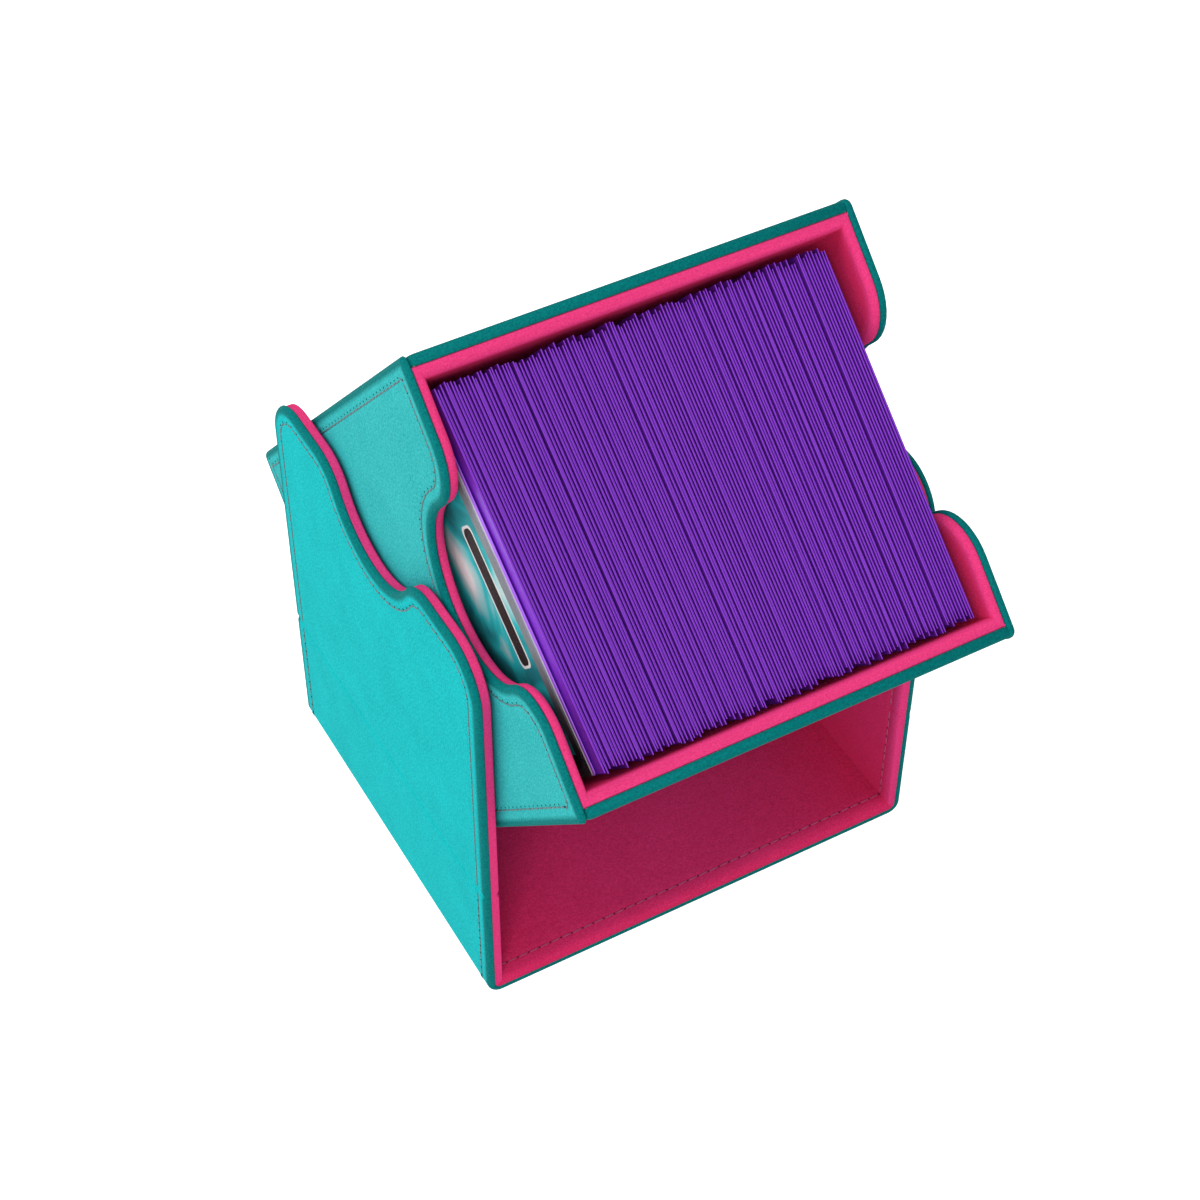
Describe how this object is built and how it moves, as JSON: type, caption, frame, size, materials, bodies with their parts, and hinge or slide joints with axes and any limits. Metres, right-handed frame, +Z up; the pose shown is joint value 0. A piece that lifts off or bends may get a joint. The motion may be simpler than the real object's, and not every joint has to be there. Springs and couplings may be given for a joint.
{
  "type": "deck box with drawer",
  "caption": "Deck box: a U-shaped stitched cover with waved fold-out flaps, standing as a cradle for a tilted card drawer with thumb notches, filled with sleeved cards.",
  "frame": {"origin": "centre of the cover's flat underside, on the surface that it stands on", "axes": "+X along the card stack to the right, -Y the open front that the drawer leans towards, +Z up"},
  "size_m": [0.0894, 0.1243, 0.1297],
  "materials": {
    "teal_leatherette": "fine suede-like grain",
    "pink_microfibre": "soft short nap",
    "greyboard": "dense grey bookbinding board",
    "violet_sleeve": "fine matte film",
    "clear_film": "clear film",
    "printed_card": "printed card stock"
  },
  "bodies": {
    "cover": {"cover_skin": "teal_leatherette", "cover_floor_board": "greyboard", "cover_floor_lining": "pink_microfibre", "cover_left_board": "greyboard", "cover_left_lining": "pink_microfibre", "cover_right_board": "greyboard", "cover_right_lining": "pink_microfibre"},
    "left_flap": {"left_flap_skin": "teal_leatherette", "left_flap_board": "greyboard", "left_flap_lining": "pink_microfibre"},
    "right_flap": {"right_flap_skin": "teal_leatherette", "right_flap_board": "greyboard", "right_flap_lining": "pink_microfibre"},
    "drawer": {"drawer_left_skin": "teal_leatherette", "drawer_left_board": "greyboard", "drawer_left_lining": "pink_microfibre", "drawer_right_skin": "teal_leatherette", "drawer_right_board": "greyboard", "drawer_right_lining": "pink_microfibre", "drawer_front_skin": "teal_leatherette", "drawer_front_board": "greyboard", "drawer_front_lining": "pink_microfibre", "drawer_back_skin": "teal_leatherette", "drawer_back_board": "greyboard", "drawer_back_lining": "pink_microfibre", "drawer_base_skin": "teal_leatherette", "drawer_base_board": "greyboard", "drawer_base_lining": "pink_microfibre"},
    "deck": {"sleeved_cards": "violet_sleeve"},
    "face_card": {"face_sleeve_front": "clear_film", "face_card": "printed_card", "face_sleeve_back": "violet_sleeve"}
  },
  "joints": [
    {"name": "left_flap_fold", "type": "hinge", "parent": "cover", "child": "left_flap", "pos_m": [-0.0442, 0, 0.0282], "axis": [0, -1, 0], "range_deg": [0, 85]},
    {"name": "right_flap_fold", "type": "hinge", "parent": "cover", "child": "right_flap", "pos_m": [0.0442, 0, 0.0282], "axis": [0, 1, 0], "range_deg": [0, 85]},
    {"name": "drawer_lift", "type": "slide", "parent": "cover", "child": "drawer", "axis": [0, -0.6678, 0.7443], "range_m": [0, 0.12]},
    {"name": "deck_lift", "type": "slide", "parent": "drawer", "child": "deck", "axis": [0, -0.6678, 0.7443], "range_m": [0, 0.1]},
    {"name": "face_card_draw", "type": "slide", "parent": "deck", "child": "face_card", "axis": [0, -0.6678, 0.7443], "range_m": [0, 0.095]}
  ]
}
